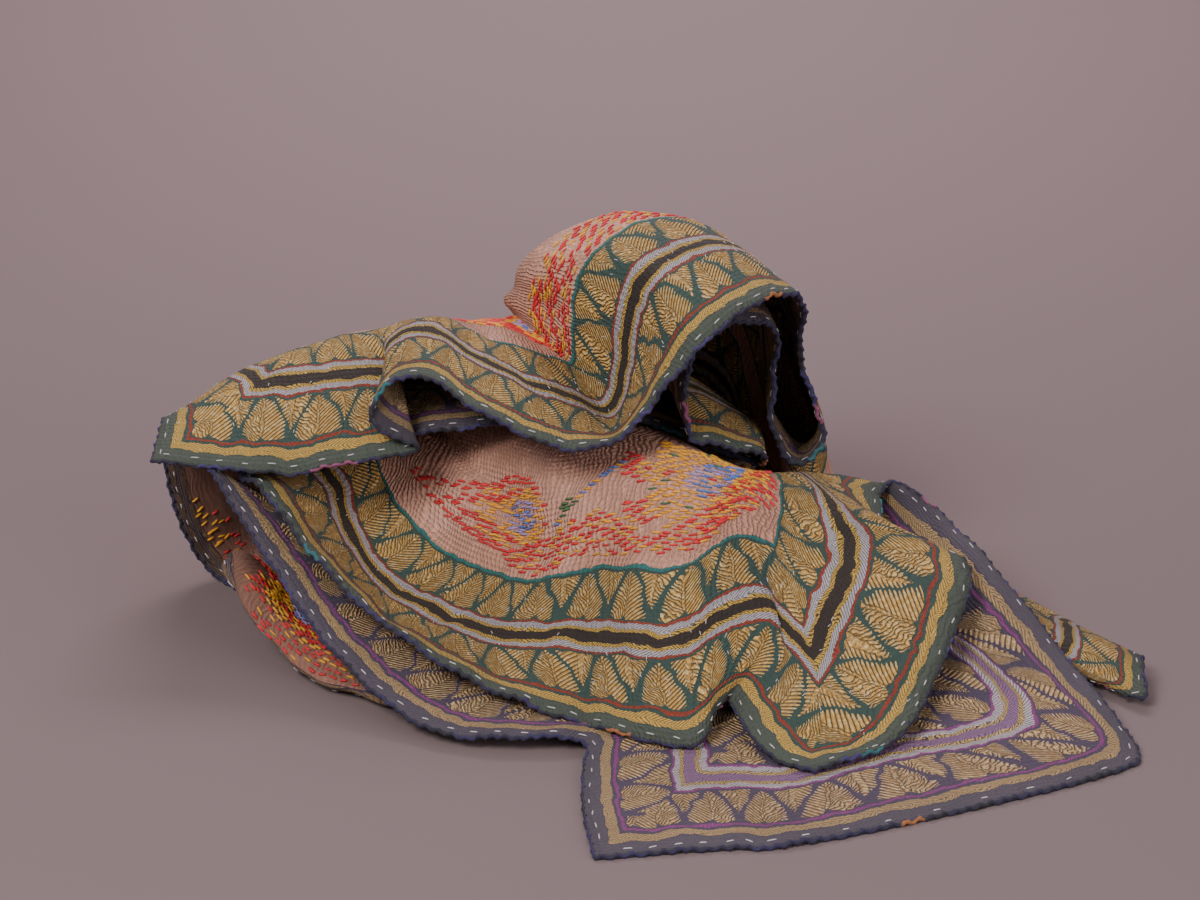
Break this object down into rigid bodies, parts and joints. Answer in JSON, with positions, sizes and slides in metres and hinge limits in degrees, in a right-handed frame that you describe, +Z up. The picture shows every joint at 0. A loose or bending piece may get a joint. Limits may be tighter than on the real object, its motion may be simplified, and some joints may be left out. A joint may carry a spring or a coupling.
{
  "type": "quilted kantha bedcover",
  "caption": "Patterned quilted bedcover dropped in a loose heap, with a hood-like fold, long embroidered border and ruffled edge; drapes over a bed or sofa.",
  "frame": {"origin": "on the floor, below the middle of the heap's bounding box", "axes": "+X to the heap's right seen from its open side, +Y to the back, +Z up"},
  "size_m": [0.7256, 0.6142, 0.2944],
  "materials": {
    "quilted_cotton": "matte washed cotton with running stitches"
  },
  "bodies": {
    "root": {"quilt": "quilted_cotton"}
  },
  "joints": []
}
